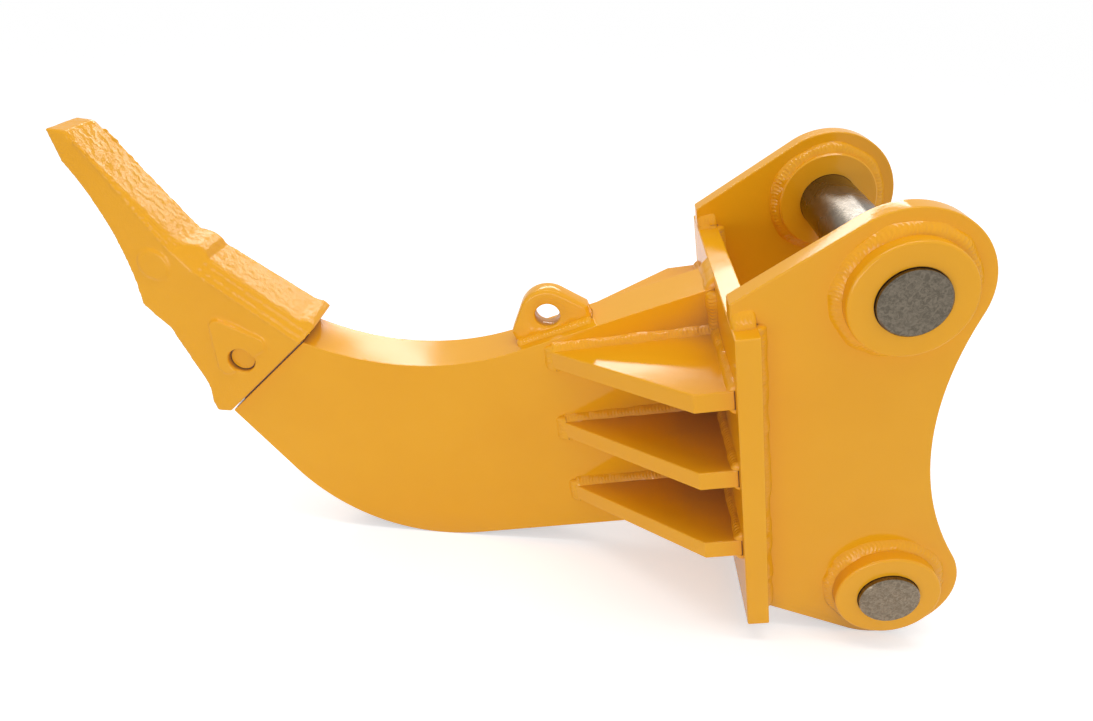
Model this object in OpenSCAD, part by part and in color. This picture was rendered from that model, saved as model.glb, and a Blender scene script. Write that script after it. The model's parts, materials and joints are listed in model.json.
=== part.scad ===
// Single-shank ripper for a 20 tonne excavator: a curved shank with a cast tooth on its nose,
// welded through a mount plate and gussets to two ears that carry the two coupling pins.
// Millimetres. The pieces are drawn in the side frame (upper pin axis at the origin, Z up along
// the mount plate, tooth towards -X) and then laid down as the ripper rests on level ground.

/* [Pins] */
// Diameter of both coupling pins
pin_d = 80; // [65:1:90]
// Distance between the two pin axes
pin_spacing = 455; // [440:1:480]
// Gap all round between a pin and its boss
pin_clear = 0.3; // [0.1:0.1:0.8]
// How far each pin end stands out of its boss
pin_proud = 8; // [4:1:15]
// Chamfer on the pin ends
pin_chamfer = 2; // [1:0.5:3]

/* [Ears] */
// Clear width between the two ears
ear_gap = 305; // [270:1:320]
// Thickness of each ear
ear_t = 28; // [20:1:32]
// Radius of the ear round the upper pin
upper_lobe_r = 97.5; // [92:0.5:105]
// Radius of the ear round the lower pin
lower_lobe_r = 100; // [92:1:110]
// Radius of the hollow rear edge between the pins
waist_r = 435; // [350:5:600]
// Slope of the ear's top and bottom edges towards the plate, in degrees
ear_slope = 27.6; // [24:0.1:30]

/* [Bosses] */
// Outside diameter of each boss sleeve
boss_d = 140; // [124:1:146]
// Gap all round between a boss and its ear
boss_clear = 0.2; // [0.1:0.1:0.5]
// How far a boss stands out on the ear's outer side
outer_boss_h = 26; // [24:1:36]
// How far a boss stands out on the ear's inner side
inner_boss_h = 14; // [12:1:24]
// Chamfer on the boss faces
boss_chamfer = 2; // [1:0.5:3]

/* [Mount plate] */
// Thickness of the mount plate
plate_t = 30; // [22:1:40]
// Width of the mount plate across the ears
plate_w = 425; // [405:1:450]
// Top of the plate below the upper pin axis
plate_drop = 20; // [16:1:30]
// Height of the mount plate
plate_h = 466; // [455:1:480]
// Distance from the pin axes to the rear face of the plate
plate_set = 161.5; // [150:0.5:175]

/* [Shank] */
// Thickness of the shank
shank_t = 78; // [74:1:86]
// Height of the shank where it meets the plate
shank_root_h = 394; // [380:1:405]
// Top of the shank below the top of the plate
shank_top_drop = 14; // [14:1:24]
// Slope of the shank's straight top edge, in degrees
shank_top_slope = 12.3; // [10:0.1:14]
// Length along X of that straight edge
shank_top_run = 283; // [280:1:300]
// Radius of the hollow curve in front of it
throat_r = 400; // [380:5:420]
// Length of the straight belly in front of the plate
belly_run = 404; // [390:1:420]
// Radius of the belly curve
belly_r = 301; // [290:1:312]
// Steepness of the front edge under the tooth, in degrees
front_rise = 63.3; // [62:0.1:65]

/* [Tooth seat] */
// Tooth pin axis in front of the plate
seat_run = 682.5; // [672:0.5:692]
// Tooth pin axis below the upper pin axis
seat_drop = 52; // [44:1:60]
// Lean of the tooth seat back from upright, in degrees
seat_lean = 34.2; // [33:0.1:35.5]
// Shank shoulder behind the tooth pin axis
shoulder_back = 44; // [42:0.5:50]
// Nose end in front of the tooth pin axis
nose_reach = 108; // [98:1:116]
// Nose below the tooth pin axis at the shoulder
nose_low_root = 66; // [60:1:72]
// Nose below the tooth pin axis at its end
nose_low_end = 6; // [2:1:12]
// Nose above the tooth pin axis at the shoulder
nose_high_root = 85; // [80:1:85]
// Nose above the tooth pin axis at its end
nose_high_end = 58; // [52:1:62]
// Width of the nose at the shoulder
nose_w_root = 68; // [64:1:72]
// Width of the nose at its end
nose_w_end = 48; // [42:1:54]
// Gap between the nose and the tooth's socket
nose_clear = 0.4; // [0.2:0.1:1]

/* [Tooth] */
// Rear end of the tooth behind its pin axis
tooth_back = 41; // [38:0.5:41.5]
// Tip of the tooth in front of its pin axis
tooth_reach = 370; // [360:1:385]
// Width of the tooth at its rear end
socket_w = 101; // [98:1:110]
// Width of the tooth where the blade leaves the socket
blade_root_w = 80; // [76:1:86]
// Width of the tooth at the tip
tip_w = 66; // [58:1:74]
// Cutting edge above the tooth pin axis
tip_u = 84; // [80:1:88]
// Root of the blade in front of the tooth pin axis
blade_root_v = 165; // [160:1:172]
// Lip across the top behind the root of the blade
lip_set = 27; // [24:1:30]
// Wall of the socket under the nose
under_wall = 29; // [24:1:34]
// How far the heel stands below the nose
heel_h = 42; // [36:1:46]
// Distance of the heel from the rear end
heel_run = 14; // [12:1:16]
// Chin of the tooth below the tooth pin axis
chin_drop = 37; // [33:1:41]
// Chin behind the root of the blade
chin_set = 16; // [10:1:20]
// Radius of the hollow under the blade
blade_hollow_r = 400; // [340:10:600]
// Top of the socket above the tooth pin axis
socket_top_u = 106; // [104:0.5:109]
// How far the upper side bevels come in on the socket
socket_bevel_in = 11; // [7:0.5:13]
// Height of the upper side bevels on the socket
socket_bevel_h = 24; // [18:0.5:28]
// How far the upper side bevels come in at the root of the blade
blade_bevel_in = 9; // [5:0.5:12]
// Height of the upper side bevels at the root of the blade
blade_bevel_h = 15; // [10:0.5:18]
// Height of the lip across the top above the socket
lip_h = 7; // [5:0.5:10]
// Height of the rim at the rear end
rim_h = 5; // [4:0.5:7]
// How far the pad round the pin hole stands out
pad_h = 3; // [2:0.5:4]
// Radius of the round casting mark on each side
mark_r = 21; // [16:1:24]
// How far that mark stands out
mark_h = 2; // [1:0.5:3]
// Diameter of the tooth pin
tooth_pin_d = 38; // [34:1:40]
// Gap all round between the tooth pin and its holes
tooth_pin_clear = 0.3; // [0.1:0.1:0.8]
// Depth of the tooth pin's ends below the pads
tooth_pin_sunk = 9; // [6:0.5:11]
// Outside diameter of the ring that holds the tooth pin
retainer_d = 56; // [52:1:60]
// Thickness of that ring
retainer_t = 8; // [6:0.5:9]
// Depth of the groove in the tooth pin
retainer_groove = 3; // [2:0.5:4]
// Depth of the ring below the nose's side
retainer_sunk = 1; // [0.5:0.5:2]

/* [Gussets] */
// Thickness of each gusset
gusset_t = 28; // [22:1:32]
// Top face of the upper gusset below the upper pin axis
gusset_drop = 98; // [94:1:104]
// Spacing of the gussets down the plate
gusset_pitch = 121; // [112:1:124]
// Length of each gusset along the shank
gusset_run = 233; // [200:1:250]
// Width over the two gussets of a pair
gusset_span = 390; // [350:1:400]
// Length of the gusset's straight outer end
gusset_flat = 50; // [35:1:70]
// Depth of the gusset's blunt front end
gusset_nose = 8; // [5:1:15]

/* [Lifting eye] */
// Thickness of the lifting eye
eye_t = 30; // [22:1:38]
// Radius of the eye round its hole
eye_r = 48; // [42:1:50]
// Diameter of the eye's hole
eye_hole_d = 36; // [30:1:42]
// Centre of the hole in front of the plate, along the shank's top edge
eye_run = 231.5; // [222:0.5:232]
// Centre of the hole above the shank's top edge
eye_up = 27; // [25:0.5:32]
// Length of the eye's foot on each side of the hole
eye_foot = 58; // [54:1:60]
// Slope of the eye's two flanks, in degrees
eye_flank = 50; // [46:1:54]
// Height kept free between the eye's fillets and its hole
eye_clear = 1; // [0.5:0.5:3]

/* [Pin locks] */
// Diameter of the bolts that lock the pins
lock_d = 12; // [10:1:13]
// Width across the flats of their heads and nuts
lock_flats = 18; // [16:1:19]
// Height of a bolt head
lock_head_h = 8; // [6:0.5:10]
// Height of a nut
lock_nut_h = 10; // [8:0.5:12]
// Thread showing past the nuts
lock_tail = 6; // [3:0.5:10]
// Gap all round between a lock bolt and its hole
lock_clear = 0.3; // [0.1:0.1:0.8]
// Depth of the flat seats cut in the boss for the head and the nuts
lock_seat = 4; // [3:0.5:6]
// Wall left between those seats and the boss's outer face
lock_wall = 3; // [2.5:0.5:3.5]

/* [Welds] */
// Leg of the fillets round the bosses, on the ear
boss_weld = 13; // [8:0.5:15]
// Leg of the fillets round the bosses, on the boss
boss_weld_h = 9; // [6:0.5:10]
// Leg of the fillets along the ears
ear_weld = 12; // [8:0.5:14]
// Leg of the fillets on the shank and gussets
root_weld = 13; // [10:0.5:14]
// Leg of the fillets along the lifting eye
eye_weld = 11; // [8:0.5:13]

/* [Hidden] */
$fn = 96;
paint = [0.91, 0.65, 0.16];
cast_paint = [0.93, 0.70, 0.26];
turned_steel = [0.55, 0.52, 0.48];
zinc_steel = [0.70, 0.70, 0.68];
// How far a cut runs past the face that it opens
past = 5;
// Step of the drawn corner arcs, in degrees
arc_step = 15;
// Where an edge runs smoothly into an arc, the two cross by this depth, so that they join cleanly
blend = 0.05;
// How far such an arc is drawn on past the place where it touches the edge, in degrees
blend_turn = 5;
// Turn of the second lock nut against the first, in degrees
nut_turn = 15;

// Places in the side frame, as [x, z]
upper_axis = [0, 0];
lower_axis = [0, -pin_spacing];
plate_rear = -plate_set;
plate_front = plate_rear - plate_t;
plate_top = -plate_drop;
plate_bottom = plate_top - plate_h;

// Places across the ripper, from its middle plane
ear_inner = ear_gap / 2;
ear_outer = ear_inner + ear_t;
boss_inner = ear_inner - inner_boss_h;
boss_outer = ear_outer + outer_boss_h;
pin_end = boss_outer + pin_proud;
lock_corners = lock_flats / cos(30);
lock_seat_d = lock_corners + 2 * lock_clear;
lock_y = boss_outer - lock_wall - lock_seat_d / 2;
shank_side = shank_t / 2;

// The ears' straight edges touch the lobes and run to the plate
ear_top_touch = (upper_lobe_r - blend) * [-sin(ear_slope), cos(ear_slope)];
ear_low_touch = lower_axis - (lower_lobe_r - blend) * [sin(ear_slope), cos(ear_slope)];
function ear_top_z(x) = ear_top_touch.y + (x - ear_top_touch.x) * tan(ear_slope);
function ear_low_z(x) = ear_low_touch.y - (x - ear_low_touch.x) * tan(ear_slope);
ear_seat_low = max(plate_bottom, ear_low_z(plate_rear));
// The hollow rear edge is an arc that touches both lobes
waist_z = (pow(lower_lobe_r + waist_r, 2) - pow(upper_lobe_r + waist_r, 2) - pow(pin_spacing, 2)) / (2 * pin_spacing);
waist_x = sqrt(pow(upper_lobe_r + waist_r, 2) - pow(waist_z, 2));
waist_centre = [waist_x, waist_z];
waist_top = upper_lobe_r * waist_centre / norm(waist_centre);
waist_low = lower_axis + lower_lobe_r * (waist_centre - lower_axis) / norm(waist_centre - lower_axis);

// The shank's outline: a straight top that runs into the throat arc, and a straight belly that
// runs into the belly arc and the front edge
shank_top = plate_top - shank_top_drop;
shank_bottom = shank_top - shank_root_h;
belly_centre = [plate_front - belly_run, shank_bottom + belly_r];
front_dir = [-cos(front_rise), sin(front_rise)];
belly_end = belly_centre - (belly_r - blend) * [sin(front_rise), cos(front_rise)];
throat_end = [plate_front - shank_top_run, shank_top - shank_top_run * tan(shank_top_slope)];
throat_centre = throat_end + (throat_r - blend) * [-sin(shank_top_slope), cos(shank_top_slope)];

// The tooth seat: u runs up across the tooth and v along it, both from the tooth pin axis
seat = [plate_front - seat_run, -seat_drop];
seat_u = [cos(seat_lean), sin(seat_lean)];
seat_v = [-sin(seat_lean), cos(seat_lean)];
shoulder = seat - shoulder_back * seat_v;
throat_along = (shoulder - throat_centre) * seat_u;
throat_past = norm(shoulder - throat_centre);
throat_back = sqrt(pow(throat_along, 2) - pow(throat_past, 2) + pow(throat_r, 2));
shoulder_top = shoulder - (throat_along + throat_back - past) * seat_u;
front_run = ((shoulder - belly_end) * seat_v) / (front_dir * seat_v);
shoulder_low = belly_end + front_run * front_dir;

// Share of the way from the shoulder to the nose end, at a place along v
function nose_share(v) = (v + shoulder_back) / (nose_reach + shoulder_back);
function nose_half(v) = (nose_w_root + (nose_w_end - nose_w_root) * nose_share(v)) / 2;
function nose_low(v) = -nose_low_root + (nose_low_root - nose_low_end) * nose_share(v);
function nose_high(v) = nose_high_root + (nose_high_end - nose_high_root) * nose_share(v);

// The tooth's side outline is drawn in u and v
lip_v = blade_root_v - lip_set;
// The lip's crest runs from behind this place to in front of it, and its rear slope ends further back
lip_rear = 4;
lip_front = 7;
lip_back = 14;
blade_top_set = 3;
rim_run = 12;
// Fall of the socket's top for each millimetre along v
socket_fall = 0.155;
function socket_top(v) = socket_top_u - socket_fall * v;
lip_u = socket_top(lip_v) + lip_h;
rim_u = socket_top(-tooth_back) + rim_h;
blade_top_u = socket_top(blade_root_v) - lip_h / 2;
// Under the tooth: the heel, the socket's wall under the nose, the chin and the tip's lower bevel
heel_v = heel_run - tooth_back;
heel_u = nose_low(heel_v) - heel_h;
heel_step = 6;
wall_rear_v = heel_v + 2.5 * heel_run;
wall_front_v = nose_reach - heel_step;
chin = [-chin_drop, blade_root_v - chin_set];
tip_under = [22, 34];
tip_low = [tip_u - tip_under.x, tooth_reach - tip_under.y];
tip_bevel = [16, 20];
bevel_stop = [13, 35];
bevel_end = [tip_u + bevel_stop.x, tooth_reach - bevel_stop.y];
// Radii of that outline's corners
heel_r = 6;
heel_front_r = 12;
wall_r = 30;
chin_r = 20;
tip_r = 4;
blade_root_r = 22;
lip_front_r = 10;
lip_rear_r = 6;
lip_foot_r = 3;
rim_foot_r = 10;
rim_front_r = 6;
rim_rear_r = 2;
// The hollow under the blade is an arc through the chin and the tip's lower bevel
hollow_chord = tip_low - chin;
hollow_out = [-hollow_chord.y, hollow_chord.x] / norm(hollow_chord);
hollow_deep = sqrt(pow(blade_hollow_r, 2) - pow(norm(hollow_chord) / 2, 2));
hollow_centre = (chin + tip_low) / 2 + hollow_deep * hollow_out;
// Corners of the pad round the pin hole, and the casting mark, in u and v
pad_front = [24, 78];
pad_low = [-50, 0];
pad_rear = [58, -14];
pad_corner_r = 13;
mark_u = 29;
mark_set = 7;
mark_at = [mark_u, blade_root_v + mark_set];
pad_face = tooth_half(0) + pad_h;
tooth_pin_half = pad_face - tooth_pin_sunk;
retainer_seat = nose_half(retainer_d / 2) - retainer_t - retainer_sunk;

// Half width of the tooth at a place along v
function tooth_half(v) = v < blade_root_v
    ? lerp(socket_w / 2, blade_root_w / 2, (v + tooth_back) / (blade_root_v + tooth_back))
    : lerp(blade_root_w / 2, tip_w / 2, (v - blade_root_v) / (tooth_reach - blade_root_v));
function lerp(a, b, t) = a + (b - a) * t;

// The ripper lies on its belly curve and on the lobes of its ears, touching level ground
rest_gap = lower_axis - belly_centre;
lie_tilt = atan2(-rest_gap.y, rest_gap.x) - asin((belly_r - lower_lobe_r) / norm(rest_gap));
ground_up = pin_spacing * cos(lie_tilt) + lower_lobe_r;
tip_edge = seat + tip_u * seat_u + tooth_reach * seat_v;
front_most = tip_edge.x * cos(lie_tilt) - tip_edge.y * sin(lie_tilt);
rear_most = pin_spacing * sin(lie_tilt) + lower_lobe_r;
mid_length = (front_most + rear_most) / 2;

// Points of a closed outline whose corners are given as [x, y, radius]
function rounded(corners) = [
    for (i = [0:len(corners) - 1])
        each rounded_corner(corners[(i + len(corners) - 1) % len(corners)], corners[i], corners[(i + 1) % len(corners)])
];
function rounded_corner(before, corner, after) =
    let (
        at = [corner.x, corner.y],
        back = [before.x, before.y] - at,
        on = [after.x, after.y] - at,
        r = len(corner) > 2 ? corner.z : 0
    )
    r == 0 ? [at] : corner_arc(at, back / norm(back), on / norm(on), r);
function corner_arc(at, back, on, r) =
    let (
        half = acos(back * on) / 2,
        centre = at + (back + on) / norm(back + on) * r / sin(half),
        start = at + back * r / tan(half) - centre,
        sweep = (180 - 2 * half) * sign(cross(on, back)),
        steps = max(2, ceil(abs(sweep) / arc_step))
    )
    [for (i = [0:steps]) centre + turned(start, sweep * i / steps)];
function turned(p, a) = [p.x * cos(a) - p.y * sin(a), p.x * sin(a) + p.y * cos(a)];

module lying() {
    translate([-mid_length, 0, ground_up]) rotate([0, -lie_tilt, 0]) children();
}

// A slab of a side outline between two places across the ripper
module across(y0, y1) {
    translate([0, y1, 0]) rotate([90, 0, 0]) linear_extrude(y1 - y0) children();
}

// A bar of an outline drawn in [y, z], between two places along X
module along(x0, x1) {
    translate([x0, 0, 0]) rotate([90, 0, 90]) linear_extrude(x1 - x0) children();
}

// A round bar or hole across the ripper
module bar_across(axis, r, y0, y1) {
    translate([axis.x, y0, axis.y]) rotate([-90, 0, 0]) cylinder(r = r, h = y1 - y0);
}

// A turned piece on an axis across the ripper, drawn as [radius, y]
module turned_across(axis) {
    translate([axis.x, 0, axis.y]) rotate([-90, 0, 0]) rotate_extrude() children();
}

module both_sides() {
    children();
    mirror([0, 1, 0]) children();
}

// The seat frame: X along u, Z along v
module at_seat() {
    translate([seat.x, 0, seat.y]) rotate([0, -seat_lean, 0]) children();
}

// The lifting eye's frame: X along the shank's straight top edge, under the eye's hole
module at_eye() {
    translate([plate_front, 0, shank_top]) rotate([0, -shank_top_slope, 0])
        translate([-eye_run, 0, 0]) children();
}

// Shank and nose
module shank_outline() {
    sector = 2 * belly_r;
    turn = front_rise + blend_turn;
    difference() {
        union() {
            polygon([
                [plate_front, shank_top], [plate_front, shank_bottom],
                [belly_centre.x, shank_bottom], belly_centre, belly_end,
                shoulder_low, shoulder_top, throat_end
            ]);
            translate(belly_centre) intersection() {
                circle(belly_r);
                polygon([[0, 0], [0, -sector], [-sector, -sector], -sector * [sin(turn), cos(turn)]]);
            }
        }
        translate(throat_centre) circle(throat_r);
    }
}

// The wedge that the tooth slips over, from a place along v to the nose end, grown by a gap
module nose(grow, from) {
    intersection() {
        across(-nose_w_root, nose_w_root) polygon([
            [nose_low(from) - grow, from], [-nose_low_end - grow, nose_reach],
            [nose_high_end + grow, nose_reach], [nose_high(from) + grow, from]
        ]);
        along(-2 * nose_low_root, 2 * nose_high_root) polygon([
            [-nose_half(from) - grow, from], [-nose_w_end / 2 - grow, nose_reach],
            [nose_w_end / 2 + grow, nose_reach], [nose_half(from) + grow, from]
        ]);
    }
}

module tooth_pin_hole() {
    bar_across([0, 0], tooth_pin_d / 2 + tooth_pin_clear, -socket_w, socket_w);
}

module shank() {
    color(paint) lying() difference() {
        union() {
            across(-shank_side, shank_side) shank_outline();
            at_seat() nose(0, -shoulder_back - past);
        }
        at_seat() tooth_pin_hole();
        at_seat() bar_across([0, 0], retainer_d / 2 + tooth_pin_clear, retainer_seat, nose_w_root);
    }
}

// Tooth, its pin and its ring
module tooth_outline() {
    difference() {
        polygon(rounded([
            [heel_u + heel_run, -tooth_back], [heel_u, heel_v, heel_r],
            [heel_u + heel_step, heel_v + heel_run, heel_front_r],
            [nose_low(wall_rear_v) - under_wall, wall_rear_v, wall_r],
            [nose_low(wall_front_v) - under_wall, wall_front_v, wall_r],
            [chin.x, chin.y, chin_r], [tip_low.x, tip_low.y], [tip_u, tooth_reach],
            [tip_u + tip_bevel.x, tooth_reach - tip_bevel.y, tip_r],
            [blade_top_u, blade_root_v + blade_top_set, blade_root_r],
            [lip_u, lip_v + lip_front, lip_front_r], [lip_u, lip_v - lip_rear, lip_rear_r],
            [socket_top(lip_v - lip_back), lip_v - lip_back, lip_foot_r],
            [socket_top(2 * rim_run - tooth_back), 2 * rim_run - tooth_back, rim_foot_r],
            [rim_u, rim_run - tooth_back, rim_front_r], [rim_u, -tooth_back, rim_rear_r]
        ]));
        translate(hollow_centre) circle(blade_hollow_r);
    }
}

module tooth_plan() {
    polygon([
        [-tooth_half(-tooth_back), -tooth_back], [tooth_half(-tooth_back), -tooth_back],
        [tooth_half(blade_root_v), blade_root_v], [tooth_half(tooth_reach), tooth_reach],
        [-tooth_half(tooth_reach), tooth_reach], [-tooth_half(blade_root_v), blade_root_v]
    ]);
}

// What a bevel takes off: it starts at a point on the tooth's side and follows a direction there
module bevel_cut(start, run, come_in, height, length) {
    lean = [atan2(-run.y, norm([run.x, run.z])), atan2(run.x, run.z)];
    translate(start) rotate([lean[0], lean[1], 0]) linear_extrude(length) polygon([
        [-height, come_in], [2 * height, -2 * come_in], [2 * height, 4 * come_in], [-height, 4 * come_in]
    ]);
}

module tooth_bevels() {
    rear = -tooth_back - past;
    socket_start = [socket_top(rear) - socket_bevel_h, tooth_half(rear), rear];
    socket_run = [-socket_fall, (blade_root_w - socket_w) / 2 / (blade_root_v + tooth_back), 1];
    blade_start = [blade_top_u - blade_bevel_h, tooth_half(blade_root_v), blade_root_v];
    blade_end = [bevel_end.x, tooth_half(bevel_end.y), bevel_end.y];
    bevel_cut(socket_start, socket_run, socket_bevel_in, socket_bevel_h, lip_v - lip_back - rear);
    bevel_cut(blade_start, blade_end - blade_start, blade_bevel_in, blade_bevel_h, tooth_reach - blade_root_v);
}

module pad_outline() {
    polygon(rounded([for (corner = [pad_front, pad_low, pad_rear]) [corner.x, corner.y, pad_corner_r]]));
}

module ripper_tooth() {
    color(cast_paint) lying() at_seat() difference() {
        union() {
            difference() {
                intersection() {
                    across(-socket_w, socket_w) tooth_outline();
                    along(-2 * socket_w, 2 * socket_w) tooth_plan();
                }
                both_sides() tooth_bevels();
            }
            both_sides() across(tooth_half(blade_root_v), pad_face) pad_outline();
            both_sides() bar_across(mark_at, mark_r, 0, tooth_half(mark_at.y - mark_r) + mark_h);
        }
        nose(nose_clear, -tooth_back - past);
        tooth_pin_hole();
    }
}

module tooth_pin() {
    r = tooth_pin_d / 2;
    edge = pin_chamfer;
    groove = r - retainer_groove;
    color(cast_paint) lying() at_seat() turned_across([0, 0]) polygon([
        [0, -tooth_pin_half], [r - edge, -tooth_pin_half], [r, edge - tooth_pin_half],
        [r, retainer_seat], [groove, retainer_seat],
        [groove, retainer_seat + retainer_t], [r, retainer_seat + retainer_t],
        [r, tooth_pin_half - edge], [r - edge, tooth_pin_half], [0, tooth_pin_half]
    ]);
}

module tooth_pin_retainer() {
    hole = tooth_pin_d / 2 - retainer_groove + tooth_pin_clear;
    color(zinc_steel) lying() at_seat() difference() {
        bar_across([0, 0], retainer_d / 2, retainer_seat, retainer_seat + retainer_t);
        bar_across([0, 0], hole, retainer_seat - past, retainer_seat + retainer_t + past);
    }
}

// Lifting eye on the shank's top edge
module eye_outline() {
    touch = (eye_r - blend) * [sin(eye_flank), cos(eye_flank)];
    foot_up = eye_up + touch.y - (eye_foot - touch.x) * tan(eye_flank);
    turn = eye_flank + blend_turn;
    sector = 2 * eye_r * [sin(turn), cos(turn)];
    translate([0, eye_up]) difference() {
        union() {
            polygon([
                [-eye_foot, -eye_up], [eye_foot, -eye_up], [eye_foot, foot_up - eye_up], touch,
                [0, 0], [-touch.x, touch.y], [-eye_foot, foot_up - eye_up]
            ]);
            intersection() {
                circle(eye_r);
                polygon([[0, 0], sector, [0, 2 * sector.y], [-sector.x, sector.y]]);
            }
        }
        circle(d = eye_hole_d);
    }
}

module lifting_eye() {
    color(paint) lying() at_eye() across(-eye_t / 2, eye_t / 2) eye_outline();
}

// Mount plate, ears and bosses
module mount_plate() {
    color(paint) lying() translate([plate_front, -plate_w / 2, plate_bottom]) cube([plate_t, plate_w, plate_h]);
}

module ear_outline() {
    circle(upper_lobe_r);
    translate(lower_axis) circle(lower_lobe_r);
    difference() {
        polygon([
            ear_top_touch, [plate_front, ear_top_z(plate_front)], [plate_front, plate_top],
            [plate_rear, plate_top], [plate_rear, ear_low_z(plate_rear)],
            ear_low_touch, lower_axis, waist_low, waist_top, upper_axis
        ]);
        translate(waist_centre) circle(waist_r + blend);
    }
}

module ear() {
    color(paint) difference() {
        across(ear_inner, ear_outer) ear_outline();
        for (axis = [upper_axis, lower_axis])
            bar_across(axis, boss_d / 2 + boss_clear, ear_inner - past, ear_outer + past);
    }
}

module near_ear() {
    lying() mirror([0, 1, 0]) ear();
}

module far_ear() {
    lying() ear();
}

module boss(axis) {
    r = boss_d / 2;
    edge = boss_chamfer;
    bore = pin_d / 2 + pin_clear;
    color(paint) turned_across(axis) polygon([
        [bore, boss_inner], [r - edge, boss_inner], [r, boss_inner + edge],
        [r, boss_outer - edge], [r - edge, boss_outer], [bore, boss_outer]
    ]);
}

// The hole for a lock bolt with its two flat seats, along X
module lock_cut(axis) {
    seat_x = boss_d / 2 - lock_seat;
    translate([axis.x, lock_y, axis.y]) rotate([0, 90, 0]) {
        cylinder(r = lock_d / 2 + lock_clear, h = 2 * boss_d, center = true);
        for (side = [0, 180])
            rotate([side, 0, 0]) translate([0, 0, seat_x]) cylinder(d = lock_seat_d, h = boss_d);
    }
}

module far_boss(axis) {
    color(paint) lying() difference() {
        boss(axis);
        lock_cut(axis);
    }
}

module near_upper_boss() {
    lying() mirror([0, 1, 0]) boss(upper_axis);
}

module near_lower_boss() {
    lying() mirror([0, 1, 0]) boss(lower_axis);
}

module far_upper_boss() {
    far_boss(upper_axis);
}

module far_lower_boss() {
    far_boss(lower_axis);
}

// Gussets, numbered from the top
function gusset_top(i) = -gusset_drop - i * gusset_pitch;
function gusset_bottom(i) = gusset_top(i) - gusset_t;

module gusset(i) {
    half = gusset_span / 2;
    front = plate_front - gusset_run;
    color(paint) translate([0, 0, gusset_bottom(i)]) linear_extrude(gusset_t) polygon([
        [plate_front, shank_side], [plate_front, half], [plate_front - gusset_flat, half],
        [front, shank_side + gusset_nose], [front, shank_side]
    ]);
}

module near_upper_gusset() {
    lying() mirror([0, 1, 0]) gusset(0);
}

module near_middle_gusset() {
    lying() mirror([0, 1, 0]) gusset(1);
}

module near_lower_gusset() {
    lying() mirror([0, 1, 0]) gusset(2);
}

module far_upper_gusset() {
    lying() gusset(0);
}

module far_middle_gusset() {
    lying() gusset(1);
}

module far_lower_gusset() {
    lying() gusset(2);
}

// Coupling pins and the bolts that lock them on the far side
module coupling_pin(axis) {
    r = pin_d / 2;
    edge = pin_chamfer;
    color(turned_steel) lying() difference() {
        turned_across(axis) polygon([
            [0, -pin_end], [r - edge, -pin_end], [r, edge - pin_end],
            [r, pin_end - edge], [r - edge, pin_end], [0, pin_end]
        ]);
        translate([axis.x, lock_y, axis.y]) rotate([0, 90, 0])
            cylinder(r = lock_d / 2 + lock_clear, h = 2 * pin_d, center = true);
    }
}

module upper_pin() {
    coupling_pin(upper_axis);
}

module lower_pin() {
    coupling_pin(lower_axis);
}

module hexagon(h) {
    cylinder(d = lock_corners, h = h, $fn = 6);
}

module lock_bolt(axis) {
    seat_x = boss_d / 2 - lock_seat;
    length = 2 * seat_x + 2 * lock_nut_h + lock_tail;
    color(zinc_steel) lying() translate([axis.x - seat_x, lock_y, axis.y]) rotate([0, 90, 0]) {
        translate([0, 0, -lock_head_h]) hexagon(lock_head_h);
        cylinder(d = lock_d, h = length);
    }
}

module lock_nuts(axis) {
    seat_x = boss_d / 2 - lock_seat;
    color(zinc_steel) lying() for (i = [0:1])
        translate([axis.x + seat_x + i * (lock_nut_h + lock_clear), lock_y, axis.y]) rotate([0, 90, 0]) difference() {
            rotate([0, 0, nut_turn * i]) hexagon(lock_nut_h);
            translate([0, 0, -past]) cylinder(d = lock_d, h = lock_nut_h + 2 * past);
        }
}

module upper_lock_bolt() {
    lock_bolt(upper_axis);
}

module upper_lock_nuts() {
    lock_nuts(upper_axis);
}

module lower_lock_bolt() {
    lock_bolt(lower_axis);
}

module lower_lock_nuts() {
    lock_nuts(lower_axis);
}

// Welds, as plain fillets
module boss_ring_welds(axis) {
    r = boss_d / 2;
    turned_across(axis) polygon([[r, ear_outer], [r + boss_weld, ear_outer], [r, ear_outer + boss_weld_h]]);
    turned_across(axis) polygon([[r, ear_inner], [r + boss_weld, ear_inner], [r, ear_inner - boss_weld_h]]);
}

module boss_welds() {
    color(paint) lying() for (axis = [upper_axis, lower_axis]) {
        difference() {
            boss_ring_welds(axis);
            lock_cut(axis);
        }
        mirror([0, 1, 0]) boss_ring_welds(axis);
    }
}

module ear_welds() {
    leg = ear_weld;
    color(paint) lying() both_sides() {
        for (face = [[ear_outer, 1], [ear_inner, -1]]) {
            y = face[0];
            out = face[1] * leg;
            translate([0, 0, ear_seat_low]) linear_extrude(plate_top - ear_seat_low)
                polygon([[plate_rear, y], [plate_rear + leg, y], [plate_rear, y + out]]);
            along(plate_front, plate_rear)
                polygon([[y, plate_top], [y + out, plate_top], [y, plate_top + leg]]);
        }
    }
}

// Fillets along one gusset: its top face at one sign, its bottom face at the other
module gusset_welds(z, up) {
    leg = root_weld;
    along(plate_front - gusset_run, plate_front - leg)
        polygon([[shank_side, z], [shank_side + leg, z], [shank_side, z + up * leg]]);
    across(shank_side + leg, gusset_span / 2)
        polygon([[plate_front, z], [plate_front - leg, z], [plate_front, z + up * leg]]);
}

module side_weld(z0, z1) {
    leg = root_weld;
    translate([0, 0, z0]) linear_extrude(z1 - z0)
        polygon([[plate_front, shank_side], [plate_front - leg, shank_side], [plate_front, shank_side + leg]]);
}

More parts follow.
